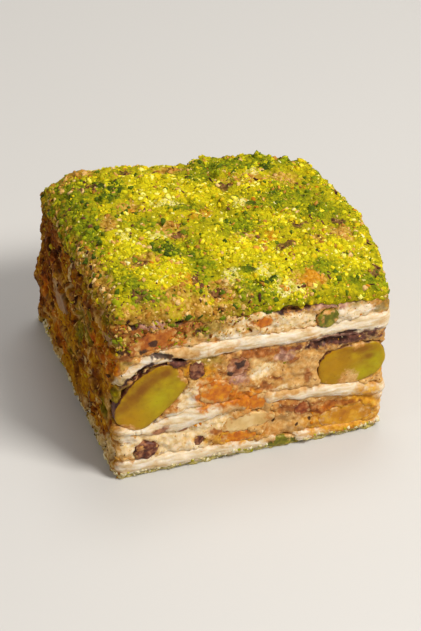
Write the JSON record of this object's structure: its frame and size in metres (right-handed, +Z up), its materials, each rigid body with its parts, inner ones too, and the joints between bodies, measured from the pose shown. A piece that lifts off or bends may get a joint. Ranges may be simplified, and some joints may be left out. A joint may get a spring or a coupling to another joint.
{
  "type": "pistachio-coated layered sweet piece",
  "caption": "Hand-cut block of a layered sweet, soft fruit and nut paste between white nougat ribbons, with a thick coat of ground pistachio on its sloping top and under its base.",
  "frame": {"origin": "middle of the piece's bounding box, on the surface that its base rests on", "axes": "+Z up from the base to the coated top; -Y is the front, the clean cut that shows the layers; -X is the left, dusted side, by the tallest edge"},
  "size_m": [0.0512, 0.048, 0.036],
  "materials": {
    "pistachio_coat": "ground pistachio, bright yellow-green with tan and purple specks, dull",
    "nougat": "soft white nougat, smeared by the knife, satin",
    "paste": "beige nut and fruit paste, crumbly, with orange and brown flecks",
    "kernel": "cut pistachio kernel, olive-yellow flesh with a purple-brown skin",
    "currant": "dark dried currant, wrinkled, slightly shiny",
    "apricot": "cut dried apricot, orange, moist",
    "cashew": "smooth beige nut, satin",
    "sliver": "slivered green pistachio, dull"
  },
  "bodies": {
    "root": {"base_coat": "pistachio_coat", "base_nougat": "nougat", "lower_filling": "paste", "lower_ribbon": "nougat", "middle_filling": "paste", "upper_ribbon": "nougat", "upper_filling": "paste", "top_coat": "pistachio_coat", "kernel_front_left": "kernel", "kernel_front_right": "kernel", "kernel_right_wall": "kernel", "kernel_back": "kernel", "currant_low_left": "currant", "currant_by_kernel": "currant", "currant_low_middle": "currant", "currant_middle": "currant", "cherry_low_right": "currant", "currant_right_low": "currant", "currant_right_high": "currant", "currant_back": "currant", "currant_left": "currant", "apricot_middle_left": "apricot", "apricot_middle": "apricot", "apricot_upper_left": "apricot", "apricot_upper_middle": "apricot", "apricot_low_middle": "apricot", "apricot_low_right": "apricot", "apricot_right": "apricot", "apricot_back": "apricot", "apricot_left": "apricot", "green_bit_upper": "sliver", "green_sliver_base": "sliver", "cashew_low_middle": "cashew", "cashew_right": "cashew"}
  },
  "joints": []
}
